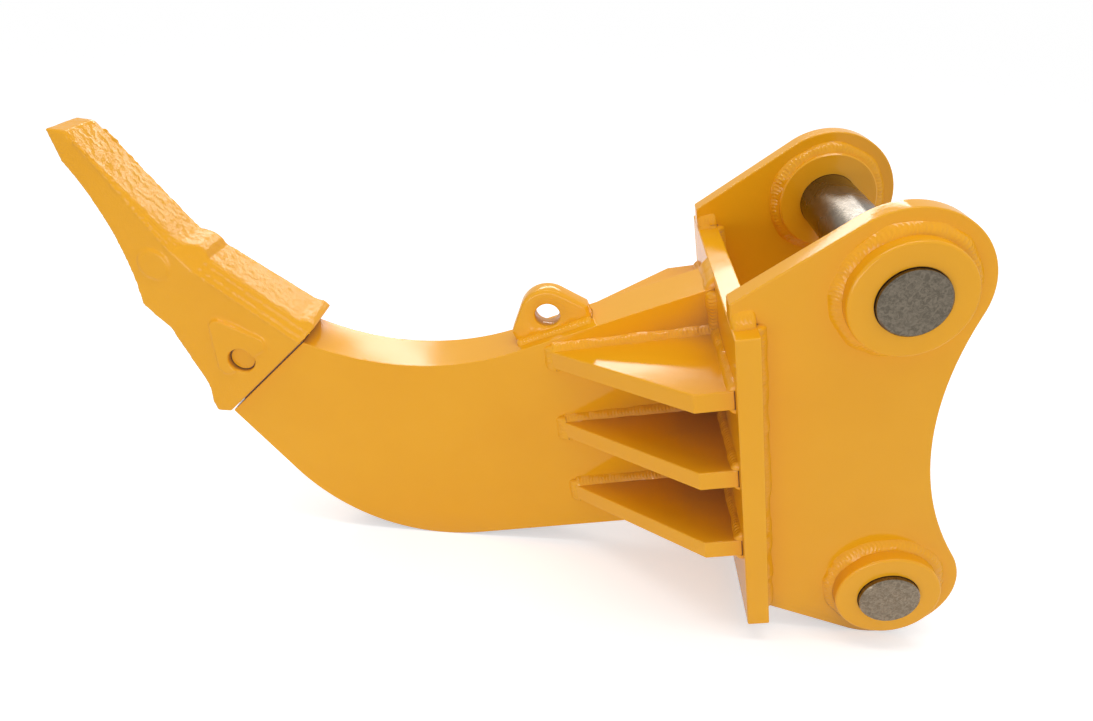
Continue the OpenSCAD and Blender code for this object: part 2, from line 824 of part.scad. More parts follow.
module root_welds() {
    leg = root_weld;
    fall = leg * tan(shank_top_slope);
    color(paint) lying() {
        across(-shank_side, shank_side) polygon([
            [plate_front, shank_top], [plate_front, shank_top + leg], [plate_front - leg, shank_top - fall]
        ]);
        across(-shank_side, shank_side) polygon([
            [plate_front, shank_bottom], [plate_front, shank_bottom - leg], [plate_front - leg, shank_bottom]
        ]);
        both_sides() {
            for (i = [0:2]) {
                gusset_welds(gusset_top(i), 1);
                gusset_welds(gusset_bottom(i), -1);
            }
            side_weld(gusset_top(0) + leg, shank_top - fall);
            for (i = [0:1])
                side_weld(gusset_top(i + 1) + leg, gusset_bottom(i) - leg);
            side_weld(shank_bottom, gusset_bottom(2) - leg);
        }
    }
}

module eye_welds() {
    half = eye_t / 2;
    height = min(eye_weld, eye_up - eye_hole_d / 2 - eye_clear);
    color(paint) lying() at_eye() both_sides() along(-eye_foot, eye_foot)
        polygon([[half, 0], [half + eye_weld, 0], [half, height]]);
}

shank();
ripper_tooth();
tooth_pin();
tooth_pin_retainer();
lifting_eye();
mount_plate();
near_ear();
far_ear();
near_upper_boss();
near_lower_boss();
far_upper_boss();
far_lower_boss();
near_upper_gusset();
near_middle_gusset();
near_lower_gusset();
far_upper_gusset();
far_middle_gusset();
far_lower_gusset();
upper_pin();
lower_pin();
upper_lock_bolt();
upper_lock_nuts();
lower_lock_bolt();
lower_lock_nuts();
boss_welds();
ear_welds();
root_welds();
eye_welds();
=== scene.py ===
# %% [markdown]
# # A ripper shank with its tooth
#
# The CAD frame holds every solid of this excavator ripper at its true size: a curved shank, a cast
# tooth, a mount plate with gussets, two ears and two coupling pins. This lesson dresses that frame.
# It starts by loading the frame.

# %% Load the frame
import json
import math

import bmesh
import bpy
from mathutils import Matrix, Vector, noise


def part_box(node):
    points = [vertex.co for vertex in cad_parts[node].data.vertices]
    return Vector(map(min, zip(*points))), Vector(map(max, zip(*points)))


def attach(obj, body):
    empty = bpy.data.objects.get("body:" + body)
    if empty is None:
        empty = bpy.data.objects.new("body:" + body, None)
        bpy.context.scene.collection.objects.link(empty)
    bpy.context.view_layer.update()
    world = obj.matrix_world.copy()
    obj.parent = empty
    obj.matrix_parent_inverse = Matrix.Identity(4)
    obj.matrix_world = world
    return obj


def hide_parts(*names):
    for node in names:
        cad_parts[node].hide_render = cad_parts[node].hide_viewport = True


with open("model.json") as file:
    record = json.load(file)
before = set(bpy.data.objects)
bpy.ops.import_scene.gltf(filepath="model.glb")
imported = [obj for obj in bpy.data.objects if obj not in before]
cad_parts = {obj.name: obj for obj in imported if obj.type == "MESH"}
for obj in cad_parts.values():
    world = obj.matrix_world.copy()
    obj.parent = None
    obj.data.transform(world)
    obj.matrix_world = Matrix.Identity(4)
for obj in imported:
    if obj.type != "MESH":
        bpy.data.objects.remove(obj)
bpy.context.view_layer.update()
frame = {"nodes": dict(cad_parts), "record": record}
MM = 0.001

# %% [markdown]
# The ripper lies tilted on the ground, so its plates don't follow the frame's X and Z. The two pins
# do: a line through their axes runs along the mount plate. That line gives a second set of axes, the
# side frame, with its origin on the upper pin. Places on the plates are read from CAD nodes in it.

# %% Side frame from the two pins
def box_centre(node):
    low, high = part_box(node)
    return (low + high) / 2

upper_axis = box_centre("upper_pin")
lower_axis = box_centre("lower_pin")
side_up = (upper_axis - lower_axis).normalized()
side_across = Vector((0, 1, 0))
side_along = side_across.cross(side_up)
SIDE = Matrix((side_along, side_across, side_up)).transposed().to_4x4()
SIDE.translation = Vector((upper_axis.x, 0, upper_axis.z))
TO_SIDE = SIDE.inverted()

def side_box(node):
    """Lowest and highest corner of a CAD node in the side frame."""
    corners = [TO_SIDE @ v.co for v in frame["nodes"][node].data.vertices]
    low = Vector([min(c[i] for c in corners) for i in range(3)])
    high = Vector([max(c[i] for c in corners) for i in range(3)])
    return low, high

plate_low, plate_high = side_box("mount_plate")
print("plate in the side frame, mm:", [round(v / MM, 1) for v in (*plate_low, *plate_high)])

# %% [markdown]
# The camera stands a little above a person's waist and close to the part, with a wide lens. A wide
# lens near a long object makes the near ear look large and the far one small, so its place matters
# more than its angle. It is aimed at a point on the ripper's middle plane and rolled slightly.

# %% Camera
CAMERA_PLACE = Vector((0.0663, -0.9533, 0.8796))
CAMERA_AIM = Vector((0.0280, 0.0, 0.3223))
CAMERA_ROLL = math.radians(2.487)
LENS = 24.37
SENSOR = 36.0
NEAREST = 10 * MM

forward = (CAMERA_AIM - CAMERA_PLACE).normalized()
level_right = forward.cross(Vector((0, 0, 1))).normalized()
level_up = level_right.cross(forward)
camera_right = level_right * math.cos(CAMERA_ROLL) + level_up * math.sin(CAMERA_ROLL)
camera_up = camera_right.cross(forward)
camera_data = bpy.data.cameras.new("camera")
camera_data.lens = LENS
camera_data.sensor_width = SENSOR
camera_data.sensor_fit = "HORIZONTAL"
camera_data.clip_start = NEAREST
camera = bpy.data.objects.new("camera", camera_data)
bpy.context.scene.collection.objects.link(camera)
camera.matrix_world = Matrix((camera_right, camera_up, -forward)).transposed().to_4x4()
camera.location = CAMERA_PLACE
bpy.context.scene.camera = camera
print("camera", LENS, "mm lens,", round((CAMERA_AIM - CAMERA_PLACE).length, 3), "m from its aim")

# %% [markdown]
# Colours are written as sRGB hex, the way a paint card gives them, and one function turns them into
# the linear values that shaders work in. One more function adds a shader node with its settings and
# its links, so a material reads as a list of steps. A Mix node has a set of sockets for each kind of
# data, and several share a name, so its colour sockets are picked by number.

# %% Colour and node helpers
MIX_SHARE = 0
MIX_FIRST = 6
MIX_SECOND = 7
MIX_RESULT = 2

def linear(hex_colour):
    """A #RRGGBB sRGB colour as linear RGBA."""
    channels = [int(hex_colour[i:i + 2], 16) / 255 for i in (1, 3, 5)]
    return [c / 12.92 if c <= 0.04045 else ((c + 0.055) / 1.055) ** 2.4 for c in channels] + [1.0]

def add(tree, kind, settings=None, inputs=None, links=None):
    """Adds a node: settings are its properties, inputs its constants, links its sockets' sources."""
    made = tree.nodes.new(kind)
    for name, value in (settings or {}).items():
        setattr(made, name, value)
    for name, value in (inputs or {}).items():
        made.inputs[name].default_value = value
    for name, source in (links or {}).items():
        tree.links.new(source, made.inputs[name])
    return made

def new_material(name):
    material = bpy.data.materials.new(name)
    material.use_nodes = True
    material.node_tree.nodes.clear()
    return material, material.node_tree

print("sRGB #EBA92C is linear", [round(v, 3) for v in linear("#EBA92C")[:3]])

# %% [markdown]
# ## Finishes
#
# The plates are mild steel under sprayed enamel. The pigment gives a deep orange yellow, and a clear
# resin on top of it gives the gloss, so the paint is a rough coloured base under a smooth coat. Only
# the coat mirrors. It dries with an orange-peel skin a few millimetres wide and follows the slow
# waves of rolled plate. The yellow drifts a little from patch to patch, and in the inside corners,
# where shade falls, a painted shade turns it brown.

# %% Enamel paint on steel
TONE_PATCH = 160 * MM
PLATE_WAVE = 110 * MM
PAINTED_SHADE_REACH = 110 * MM
PAINTED_SHADE_TONE = "#8A6C60"
FULL_SHADE_BELOW = 0.10
NO_SHADE_ABOVE = 0.56
PIGMENT_SMOOTH = 0.44
PIGMENT_DULL = 0.58
RESIN_SHARE = 0.6
RESIN_IOR = 1.5

def enamel(name, light, deep, peel_size, peel_height, wave_height, resin_roughness):
    material, tree = new_material(name)
    place = add(tree, "ShaderNodeTexCoord").outputs["Object"]
    patches = add(
        tree, "ShaderNodeTexNoise", inputs={"Scale": 1 / TONE_PATCH, "Detail": 3.0},
        links={"Vector": place},
    )
    tone = add(
        tree, "ShaderNodeMix", {"data_type": "RGBA"},
        {MIX_FIRST: linear(deep), MIX_SECOND: linear(light)}, {MIX_SHARE: patches.outputs["Fac"]},
    )
    # Painted shade: an occlusion test turns the colour brown in inside corners, where shade falls.
    open_sky = add(tree, "ShaderNodeAmbientOcclusion", {"samples": 8}, {"Distance": PAINTED_SHADE_REACH})
    unshaded = add(
        tree, "ShaderNodeMapRange", inputs={"From Min": FULL_SHADE_BELOW, "From Max": NO_SHADE_ABOVE},
        links={"Value": open_sky.outputs["AO"]},
    )
    colour = add(
        tree, "ShaderNodeMix", {"data_type": "RGBA"}, {MIX_FIRST: linear(PAINTED_SHADE_TONE)},
        {MIX_SHARE: unshaded.outputs["Result"], MIX_SECOND: tone.outputs[MIX_RESULT]},
    )
    wave = add(
        tree, "ShaderNodeTexNoise", inputs={"Scale": 1 / PLATE_WAVE, "Detail": 1.0},
        links={"Vector": place},
    )
    waved = add(
        tree, "ShaderNodeBump", inputs={"Strength": 1.0, "Distance": wave_height},
        links={"Height": wave.outputs["Fac"]},
    )
    peel = add(
        tree, "ShaderNodeTexNoise", inputs={"Scale": 1 / peel_size, "Detail": 2.0},
        links={"Vector": place},
    )
    peeled = add(
        tree, "ShaderNodeBump", inputs={"Strength": 1.0, "Distance": peel_height},
        links={"Height": peel.outputs["Fac"], "Normal": waved.outputs["Normal"]},
    )
    dullness = add(
        tree, "ShaderNodeMapRange", inputs={"To Min": PIGMENT_SMOOTH, "To Max": PIGMENT_DULL},
        links={"Value": patches.outputs["Fac"]},
    )
    paint = add(
        tree, "ShaderNodeBsdfPrincipled",
        inputs={
            "Specular IOR Level": 0.0, "Coat Weight": RESIN_SHARE, "Coat IOR": RESIN_IOR,
            "Coat Roughness": resin_roughness,
        },
        links={
            "Base Color": colour.outputs[MIX_RESULT], "Roughness": dullness.outputs["Result"],
            "Normal": peeled.outputs["Normal"], "Coat Normal": peeled.outputs["Normal"],
        },
    )
    add(tree, "ShaderNodeOutputMaterial", links={"Surface": paint.outputs["BSDF"]})
    return material

plate_enamel = enamel(
    "enamel_on_rolled_steel", "#F2AE1E", "#EAA214",
    peel_size=5 * MM, peel_height=0.05 * MM, wave_height=1.0 * MM, resin_roughness=0.10,
)
cast_enamel = enamel(
    "enamel_on_cast_steel", "#F0AC1E", "#E8A014",
    peel_size=2.5 * MM, peel_height=0.30 * MM, wave_height=0.6 * MM, resin_roughness=0.15,
)
print("enamels:", plate_enamel.name, cast_enamel.name)

# %% [markdown]
# The coupling pins are turned from alloy steel, hardened and left bare. Hardening leaves a grey brown
# skin with dark worm-shaped stains, and the lathe leaves fine rings round the axis. The rings need
# to know the axis, so each pin has its own material. A lathe's feed is a fraction of a millimetre,
# too fine to show here, so the rings are drawn several millimetres apart.

# %% Turned and hardened steel
STAIN = 5 * MM
STAIN_START = 0.38
STAIN_FULL = 0.62
SCUFF = 45 * MM
POLISHED = 0.16
SCUFFED = 0.36
LATHE_RING = 7.54 * MM
RING_DEPTH = 0.02 * MM
RING_STRENGTH = 0.35
# A Wave node of scale 1 runs through this angle in a metre.
WAVE_ANGLE = 20

def hardened_steel(name, axis, light, dark):
    material, tree = new_material(name)
    place = add(tree, "ShaderNodeTexCoord").outputs["Object"]
    on_axis = add(tree, "ShaderNodeMapping", inputs={"Location": -axis}, links={"Vector": place})
    centred = on_axis.outputs["Vector"]
    worms = add(
        tree, "ShaderNodeTexNoise", inputs={"Scale": 1 / STAIN, "Detail": 3.0, "Distortion": 1.4},
        links={"Vector": centred},
    )
    stained = add(
        tree, "ShaderNodeMapRange", inputs={"From Min": STAIN_START, "From Max": STAIN_FULL},
        links={"Value": worms.outputs["Fac"]},
    )
    colour = add(
        tree, "ShaderNodeMix", {"data_type": "RGBA"},
        {MIX_FIRST: linear(dark), MIX_SECOND: linear(light)}, {MIX_SHARE: stained.outputs["Result"]},
    )
    scuffs = add(
        tree, "ShaderNodeTexNoise", inputs={"Scale": 1 / SCUFF, "Detail": 4.0},
        links={"Vector": centred},
    )
    rough = add(
        tree, "ShaderNodeMapRange", inputs={"To Min": POLISHED, "To Max": SCUFFED},
        links={"Value": scuffs.outputs["Fac"]},
    )
    rings = add(
        tree, "ShaderNodeTexWave", {"wave_type": "RINGS", "rings_direction": "Y"},
        {"Scale": 2 * math.pi / (LATHE_RING * WAVE_ANGLE), "Distortion": 0.4}, {"Vector": centred},
    )
    turned = add(
        tree, "ShaderNodeBump", inputs={"Strength": RING_STRENGTH, "Distance": RING_DEPTH},
        links={"Height": rings.outputs["Fac"]},
    )
    metal = add(
        tree, "ShaderNodeBsdfPrincipled", inputs={"Metallic": 1.0},
        links={
            "Base Color": colour.outputs[MIX_RESULT], "Roughness": rough.outputs["Result"],
            "Normal": turned.outputs["Normal"],
        },
    )
    add(tree, "ShaderNodeOutputMaterial", links={"Surface": metal.outputs["BSDF"]})
    return material

# The lower pin's tones are lighter than the upper pin's: painted light, since both are the same steel and the
# lower one is made to look more brightly lit.
upper_pin_steel = hardened_steel("hardened_steel_upper_pin", upper_axis, "#756C5F", "#5E574C")
lower_pin_steel = hardened_steel("hardened_steel_lower_pin", lower_axis, "#8B7F6E", "#716555")
print("pin steels:", upper_pin_steel.name, lower_pin_steel.name)

# %% [markdown]
# Bolts, nuts and the tooth pin's ring are zinc-plated. Zinc is a pale, slightly warm grey that breaks
# into small crystals of different brightness, with a faint yellow passivation in places.

# %% Zinc plating
CRYSTAL = 2.5 * MM
CRYSTAL_BRIGHT = 0.22
CRYSTAL_DULL = 0.42
PASSIVATION = 18 * MM
FILM_START = 0.45
FILM_FULL = 0.75
FILM_MOST = 0.5

def zinc_plating(name, light, dark, tint):
    material, tree = new_material(name)
    place = add(tree, "ShaderNodeTexCoord").outputs["Object"]
    crystals = add(tree, "ShaderNodeTexVoronoi", inputs={"Scale": 1 / CRYSTAL}, links={"Vector": place})
    shade = add(tree, "ShaderNodeSeparateColor", links={"Color": crystals.outputs["Color"]})
    grey = add(
        tree, "ShaderNodeMix", {"data_type": "RGBA"},
        {MIX_FIRST: linear(dark), MIX_SECOND: linear(light)}, {MIX_SHARE: shade.outputs["Red"]},
    )
    film = add(
        tree, "ShaderNodeTexNoise", inputs={"Scale": 1 / PASSIVATION, "Detail": 3.0},
        links={"Vector": place},
    )
    film_share = add(
        tree, "ShaderNodeMapRange",
        inputs={"From Min": FILM_START, "From Max": FILM_FULL, "To Max": FILM_MOST},
        links={"Value": film.outputs["Fac"]},
    )
    colour = add(
        tree, "ShaderNodeMix", {"data_type": "RGBA"}, {MIX_SECOND: linear(tint)},
        {MIX_SHARE: film_share.outputs["Result"], MIX_FIRST: grey.outputs[MIX_RESULT]},
    )
    rough = add(
        tree, "ShaderNodeMapRange", inputs={"To Min": CRYSTAL_BRIGHT, "To Max": CRYSTAL_DULL},
        links={"Value": shade.outputs["Green"]},
    )
    metal = add(
        tree, "ShaderNodeBsdfPrincipled", inputs={"Metallic": 1.0},
        links={"Base Color": colour.outputs[MIX_RESULT], "Roughness": rough.outputs["Result"]},
    )
    add(tree, "ShaderNodeOutputMaterial", links={"Surface": metal.outputs["BSDF"]})
    return material

zinc = zinc_plating("zinc_plating", "#D2D1CB", "#A9A8A3", "#CDBE8C")
print("zinc:", zinc.name)

# %% [markdown]
# The record gives each CAD node a material slot. Painted and plated nodes share the finish of their
# slot, and each coupling pin takes the steel that knows its axis.

# %% Give each CAD node its finish
FINISH = {"paint": plate_enamel, "cast_paint": cast_enamel, "zinc_steel": zinc}
PIN_FINISH = {"upper_pin": upper_pin_steel, "lower_pin": lower_pin_steel}
for subpart in frame["record"]["subparts"]:
    name = subpart["node"]
    node = frame["nodes"][name]
    node.data.materials.clear()
    node.data.materials.append(PIN_FINISH.get(name) or FINISH[subpart["material_slot"]])
print("finished", len(frame["nodes"]), "CAD nodes")

# %% [markdown]
# Plate edges are flame-cut and ground before painting, so none of them is a knife edge, and the pins
# and bosses are broken at their rims on the lathe. A bevel modifier rounds them over the CAD mesh,
# which itself stays as it is.

# %% Ground edges
JOIN_GAP = 0.02 * MM
FLAT_WITHIN = math.radians(0.5)
SHARP_FROM = math.radians(28)
EDGE_SEGMENTS = 3
FACE_WEIGHT = 100
SHANK_EDGE = 3.0 * MM
PIN_EDGE = 2.5 * MM
PLATE_EDGE = 2.0 * MM

def grind(node, radius):
    """Rounds a CAD node's sharp edges with modifiers."""
    piece = frame["nodes"][node]
    weld = piece.modifiers.new("join", "WELD")
    weld.merge_threshold = JOIN_GAP
    flat = piece.modifiers.new("flat_faces", "DECIMATE")
    flat.decimate_type = "DISSOLVE"
    flat.angle_limit = FLAT_WITHIN
    edge = piece.modifiers.new("ground_edge", "BEVEL")
    edge.width = radius
    edge.segments = EDGE_SEGMENTS
    edge.limit_method = "ANGLE"
    edge.angle_limit = SHARP_FROM
    shade = piece.modifiers.new("shade", "WEIGHTED_NORMAL")
    shade.weight = FACE_WEIGHT

edges = {"shank": SHANK_EDGE, "mount_plate": PLATE_EDGE, "upper_pin": PIN_EDGE, "lower_pin": PIN_EDGE}
for side in ("near", "far"):
    edges[f"{side}_ear"] = PLATE_EDGE
    for level in ("upper", "middle", "lower"):
        edges[f"{side}_{level}_gusset"] = PLATE_EDGE
    for level in ("upper", "lower"):
        edges[f"{side}_{level}_boss"] = PLATE_EDGE
for name, radius in edges.items():
    grind(name, radius)
print("ground", len(edges), "pieces")

# %% [markdown]
# ## Welds
#
# Every joint of the real ripper is a hand-laid fillet weld. The welder moves the arc in small steps,
# so each bead is a row of overlapping scales, a few millimetres apart and curved like fingernails,
# and it swells and thins with the hand. The CAD frame has plain three-sided fillets in these places.
#
# A bead could be a bevelled curve with a bump map, but its scales catch the light at the silhouette,
# so they are geometry here. A seam is a row of stations. Each station has a root point in the corner
# and two directions that lie on the two plates. The bead's skin spans from one plate to the other,
# arched outwards, and its height follows the scales. Each bead has a seed, which picks its own
# stretch of noise, so that no two are alike.

# %% Seams
WELD_STEP = 1.0 * MM

def straight_seam(start, end, on_a, on_b):
    """Stations along a straight corner, with the two plates' directions."""
    start, end = Vector(start), Vector(end)
    steps = max(2, round((end - start).length / WELD_STEP))
    return [(start.lerp(end, i / steps), Vector(on_a), Vector(on_b)) for i in range(steps + 1)]

def round_seam(centre, radius, out):
    """Stations round a boss: outwards on the ear, and sideways along the boss."""
    steps = round(2 * math.pi * radius / WELD_STEP)
    turns = [2 * math.pi * i / steps for i in range(steps)]
    spokes = [Vector((math.cos(t), 0, math.sin(t))) for t in turns]
    return [(centre + spoke * radius, spoke, Vector((0, out, 0))) for spoke in spokes]

print("a seam has a station every", WELD_STEP / MM, "mm")

# %% The bead builder
SECTION_STEPS = 8
SCALE_PITCH = 5.0 * MM
SCALE_HEIGHT = 0.9 * MM
SCALE_LEAST = 0.7
SCALE_SPREAD = 0.9
SCALE_CURVE = 0.9
LUMP = 11 * MM
LUMP_HEIGHT = 1.6 * MM
ARCH = 0.14
SWELL = 0.22
SWELL_LENGTH = 24 * MM
SWELL_ROW = 0.5
HEIGHT_ROW = 7.5
TOE_SINK = 0.4 * MM
END_LENGTH = 6 * MM
END_LEAST = 0.08

def end_share(distance):
    """How full a bead is at a distance from its end: it closes like a round cap."""
    gone = max(0.0, 1 - distance / END_LENGTH)
    return max(END_LEAST, math.sqrt(1 - gone * gone))

def hand_noise(run, seed, row):
    """How the welder's hand wanders along a bead."""
    return noise.noise(Vector((run / SWELL_LENGTH, seed, row)))

def lay_bead(shape, stations, leg_a, leg_b, closed, seed):
    """Adds one rippled bead to a bmesh, in the side frame."""
    length = WELD_STEP * (len(stations) if closed else len(stations) - 1)
    scales = max(1, round(length / SCALE_PITCH))
    loops = []
    for i, (root, on_a, on_b) in enumerate(stations):
        run = WELD_STEP * i
        fill = 1 + SWELL * hand_noise(run, seed, SWELL_ROW)
        if not closed:
            fill *= end_share(min(run, length - run))
        height = SCALE_HEIGHT * (SCALE_LEAST + SCALE_SPREAD * abs(hand_noise(run, seed, HEIGHT_ROW)))
        lump = LUMP_HEIGHT * noise.noise(root / LUMP)
        outwards = (on_a + on_b).normalized()
        loop = [shape.verts.new(SIDE @ (root - TOE_SINK * (on_a + on_b)))]
        for k in range(SECTION_STEPS + 1):
            t = k / SECTION_STEPS
            arch = math.sin(math.pi * t)
            scale = 0.5 * math.sin(2 * math.pi * (scales * run / length + SCALE_CURVE * arch))
            chord = on_a * (leg_a * (1 - t)) + on_b * (leg_b * t)
            raised = outwards * arch * (ARCH * leg_a + height * scale + lump)
            sunk = TOE_SINK * (on_b * (1 - t) + on_a * t)
            loop.append(shape.verts.new(SIDE @ (root + (chord + raised) * fill - sunk)))
        loops.append(loop)
    skin(shape, loops, closed)

def skin(shape, loops, closed):
    """Faces between neighbouring loops: closed joins the last to the first, open caps both ends."""
    pairs = list(zip(loops, loops[1:]))
    if closed:
        pairs.append((loops[-1], loops[0]))
    else:
        shape.faces.new(loops[0])
        shape.faces.new(loops[-1])
    for here, there in pairs:
        for i in range(len(here)):
            k = (i + 1) % len(here)
            shape.faces.new((here[i], here[k], there[k], there[i]))

print("a bead has a scale every", SCALE_PITCH / MM, "mm")

# %% From mesh to piece
CREASE_FROM = math.radians(50)

def ripper_piece(mesh, name, slot, *nodes):
    """An object that stands for CAD nodes and rides on the ripper."""
    piece = bpy.data.objects.new(name, mesh)
    bpy.context.scene.collection.objects.link(piece)
    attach(piece, "root")
    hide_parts(*nodes)
    print(name, "has", len(mesh.polygons), "faces")
    return piece

def finished_piece(shape, name, material, slot, *nodes):
    """Turns a bmesh into a piece, smooth apart from its creases."""
    bmesh.ops.recalc_face_normals(shape, faces=shape.faces)
    mesh = bpy.data.meshes.new(name)
    shape.to_mesh(mesh)
    shape.free()
    mesh.materials.append(material)
    mesh.shade_smooth()
    mesh.set_sharp_from_angle(angle=CREASE_FROM)
    return ripper_piece(mesh, name, slot, *nodes)

print("edges stay sharp from", round(math.degrees(CREASE_FROM)), "degrees")

# %% [markdown]
# The bosses are sleeves through the ears, welded all round on both sides of each ear. Their beads are
# wide and low, because the welder lays the arc mostly on the ear.

# %% Beads round the bosses
BOSS_LEG = 13 * MM
BOSS_LEG_UP = 9 * MM
near_ear_low, near_ear_high = side_box("near_ear")
boss_low, boss_high = side_box("near_upper_boss")
boss_radius = (boss_high.z - boss_low.z) / 2
EAR_FACES = [
    (near_ear_low.y, -1), (near_ear_high.y, 1),
    (-near_ear_high.y, -1), (-near_ear_low.y, 1),
]
lower_in_side = TO_SIDE @ Vector((lower_axis.x, 0, lower_axis.z))
shape = bmesh.new()
for row, axis in enumerate((Vector((0, 0, 0)), lower_in_side)):
    for column, (face, out) in enumerate(EAR_FACES):
        seam = round_seam(Vector((axis.x, face, axis.z)), boss_radius, out)
        lay_bead(shape, seam, BOSS_LEG, BOSS_LEG_UP, True, len(EAR_FACES) * row + column)
finished_piece(shape, "boss_weld_beads", plate_enamel, "paint", "boss_welds")

# %% [markdown]
# Each ear stands behind the mount plate and hooks over its top. A bead runs down both of its faces
# at the plate, and short ones lie on the plate's top edge. Each short seam is laid in two passes, one
# above the other, so it shows as stacked lumps.

# %% Beads along the ears
EAR_LEG = 12 * MM
HOOK_LEG = 10 * MM
SECOND_PASS = 7.5 * MM
EAR_SEED = 20
HOOK_SEED = 30
PASS_SEED = 40
UP = (0, 0, 1)
FORWARD = (-1, 0, 0)
REARWARD = (1, 0, 0)
plate_front, plate_rear, plate_top = plate_low.x, plate_high.x, plate_high.z
ear_seat_low = side_box("ear_welds")[0].z
second_root = plate_top + HOOK_LEG / 2
shape = bmesh.new()
for row, (face, out) in enumerate(EAR_FACES):
    sideways = (0, out, 0)
    seat, top = (plate_rear, face, ear_seat_low), (plate_rear, face, plate_top)
    lay_bead(shape, straight_seam(seat, top, REARWARD, sideways), EAR_LEG, EAR_LEG, False, EAR_SEED + row)
    front, rear = (plate_front, face, plate_top), (plate_rear, face, plate_top)
    lay_bead(shape, straight_seam(front, rear, sideways, UP), HOOK_LEG, EAR_LEG, False, HOOK_SEED + row)
    front, rear = (plate_front, face, second_root), (plate_rear, face, second_root)
    again = straight_seam(front, rear, sideways, UP)
    lay_bead(shape, again, SECOND_PASS, 2 * SECOND_PASS, False, PASS_SEED + row)
finished_piece(shape, "ear_weld_beads", plate_enamel, "paint", "ear_welds")

# %% [markdown]
# The shank is welded to the plate all round, and each gusset is welded to the shank and to the plate
# above and below. At a gusset's blunt tip the welder carries the bead round, because a weld that
# stops at a tip would crack there.

# %% Beads of a gusset
GUSSET_LEG = 10 * MM
TIP_LEG = 15 * MM
TIP_OVERLAP = 4 * MM
TIP_REACH = 0.7 * GUSSET_LEG
PLATE_SEED_STEP = 3
TIP_SEED_STEP = 6
shank_half = side_box("shank")[1].y

def weld_gusset(shape, low, high, side, seed):
    """The beads of one gusset, on one side of the shank."""
    sideways = (0, side, 0)
    root_y = side * shank_half
    for z, up in ((high.z, 1), (low.z, -1)):
        upright = (0, 0, up)
        corner = (plate_front, root_y, z)
        on_shank = straight_seam((low.x, root_y, z), corner, sideways, upright)
        lay_bead(shape, on_shank, GUSSET_LEG, GUSSET_LEG, False, seed + up)
        on_plate = straight_seam(corner, (plate_front, side * high.y, z), FORWARD, upright)
        lay_bead(shape, on_plate, GUSSET_LEG, GUSSET_LEG, False, seed + PLATE_SEED_STEP + up)
    tip = low.x + TIP_OVERLAP
    under, over = (tip, root_y, low.z - TIP_REACH), (tip, root_y, high.z + TIP_REACH)
    round_tip = straight_seam(under, over, FORWARD, sideways)
    lay_bead(shape, round_tip, TIP_LEG, GUSSET_LEG, False, seed + TIP_SEED_STEP)

gusset_boxes = [side_box(f"far_{level}_gusset") for level in ("upper", "middle", "lower")]
print("gussets on each side:", len(gusset_boxes))

# %% Beads on the shank and gussets
ROOT_LEG = 13 * MM
TOP_SLOPE = math.radians(12.3)
NEAR_PLATE = 1 * MM
GUSSET_SEED = 50
GUSSET_SEED_STEP = 20
SIDE_SEED_STEP = 5
ROOT_SEED = 120
TOP_SEED = 140
BOTTOM_SEED = 150
shank_points = [TO_SIDE @ v.co for v in frame["nodes"]["shank"].data.vertices]
heights_at_plate = [p.z for p in shank_points if p.x > plate_front - NEAR_PLATE]
shank_top = max(heights_at_plate)
shank_bottom = min(heights_at_plate)

shape = bmesh.new()
for side in (-1, 1):
    stops = [shank_top - ROOT_LEG * math.tan(TOP_SLOPE)]
    for row, (low, high) in enumerate(gusset_boxes):
        weld_gusset(shape, low, high, side, GUSSET_SEED + GUSSET_SEED_STEP * row + SIDE_SEED_STEP * side)
        stops += [high.z, low.z]
    stops.append(shank_bottom)
    root_y = side * shank_half
    for row in range(0, len(stops), 2):
        top, bottom = (plate_front, root_y, stops[row]), (plate_front, root_y, stops[row + 1])
        upright = straight_seam(bottom, top, FORWARD, (0, side, 0))
        lay_bead(shape, upright, ROOT_LEG, ROOT_LEG, False, ROOT_SEED + row + side)
down_slope = (-math.cos(TOP_SLOPE), 0, -math.sin(TOP_SLOPE))
for z, on_shank, up, seed in ((shank_top, down_slope, 1, TOP_SEED), (shank_bottom, FORWARD, -1, BOTTOM_SEED)):
    near, far = (plate_front, -shank_half, z), (plate_front, shank_half, z)
    lay_bead(shape, straight_seam(near, far, on_shank, (0, 0, up)), ROOT_LEG, ROOT_LEG, False, seed)
finished_piece(shape, "root_weld_beads", plate_enamel, "paint", "root_welds")

# %% [markdown]
# ## The lifting eye
#
# The eye is cut from thick plate, and its rim is ground round so that it doesn't nick a sling. The
# CAD eye has sharp rims. A bevel modifier would round the foot as well, so the eye is built from
# rings round its hole: each ring's radius follows the eye's outline, which is a round top, two
# straight flanks and a flat foot, and a row of rings rolls over the rim.

# %% The eye's axes and outline
EYE_FOOT = 58 * MM
EYE_UP = 27 * MM
EYE_RADIUS = 40 * MM
EYE_FLANK = math.radians(50)
LEAST_COSINE = 0.05
eye_mount = next(m for m in frame["record"]["mounts"] if m["name"] == "lifting_eye_hole")
hole_radius = eye_mount["dims"]["r_mm"] * MM
hole_centre = TO_SIDE @ Vector(eye_mount["pos_m"])
eye_low, eye_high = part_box("lifting_eye")
up_slope = Vector((math.cos(TOP_SLOPE), 0, math.sin(TOP_SLOPE)))
off_slope = Vector((-math.sin(TOP_SLOPE), 0, math.cos(TOP_SLOPE)))
EYE = Matrix((up_slope, off_slope, Vector((0, -1, 0)))).transposed().to_4x4()
EYE.translation = hole_centre
EYE = SIDE @ EYE

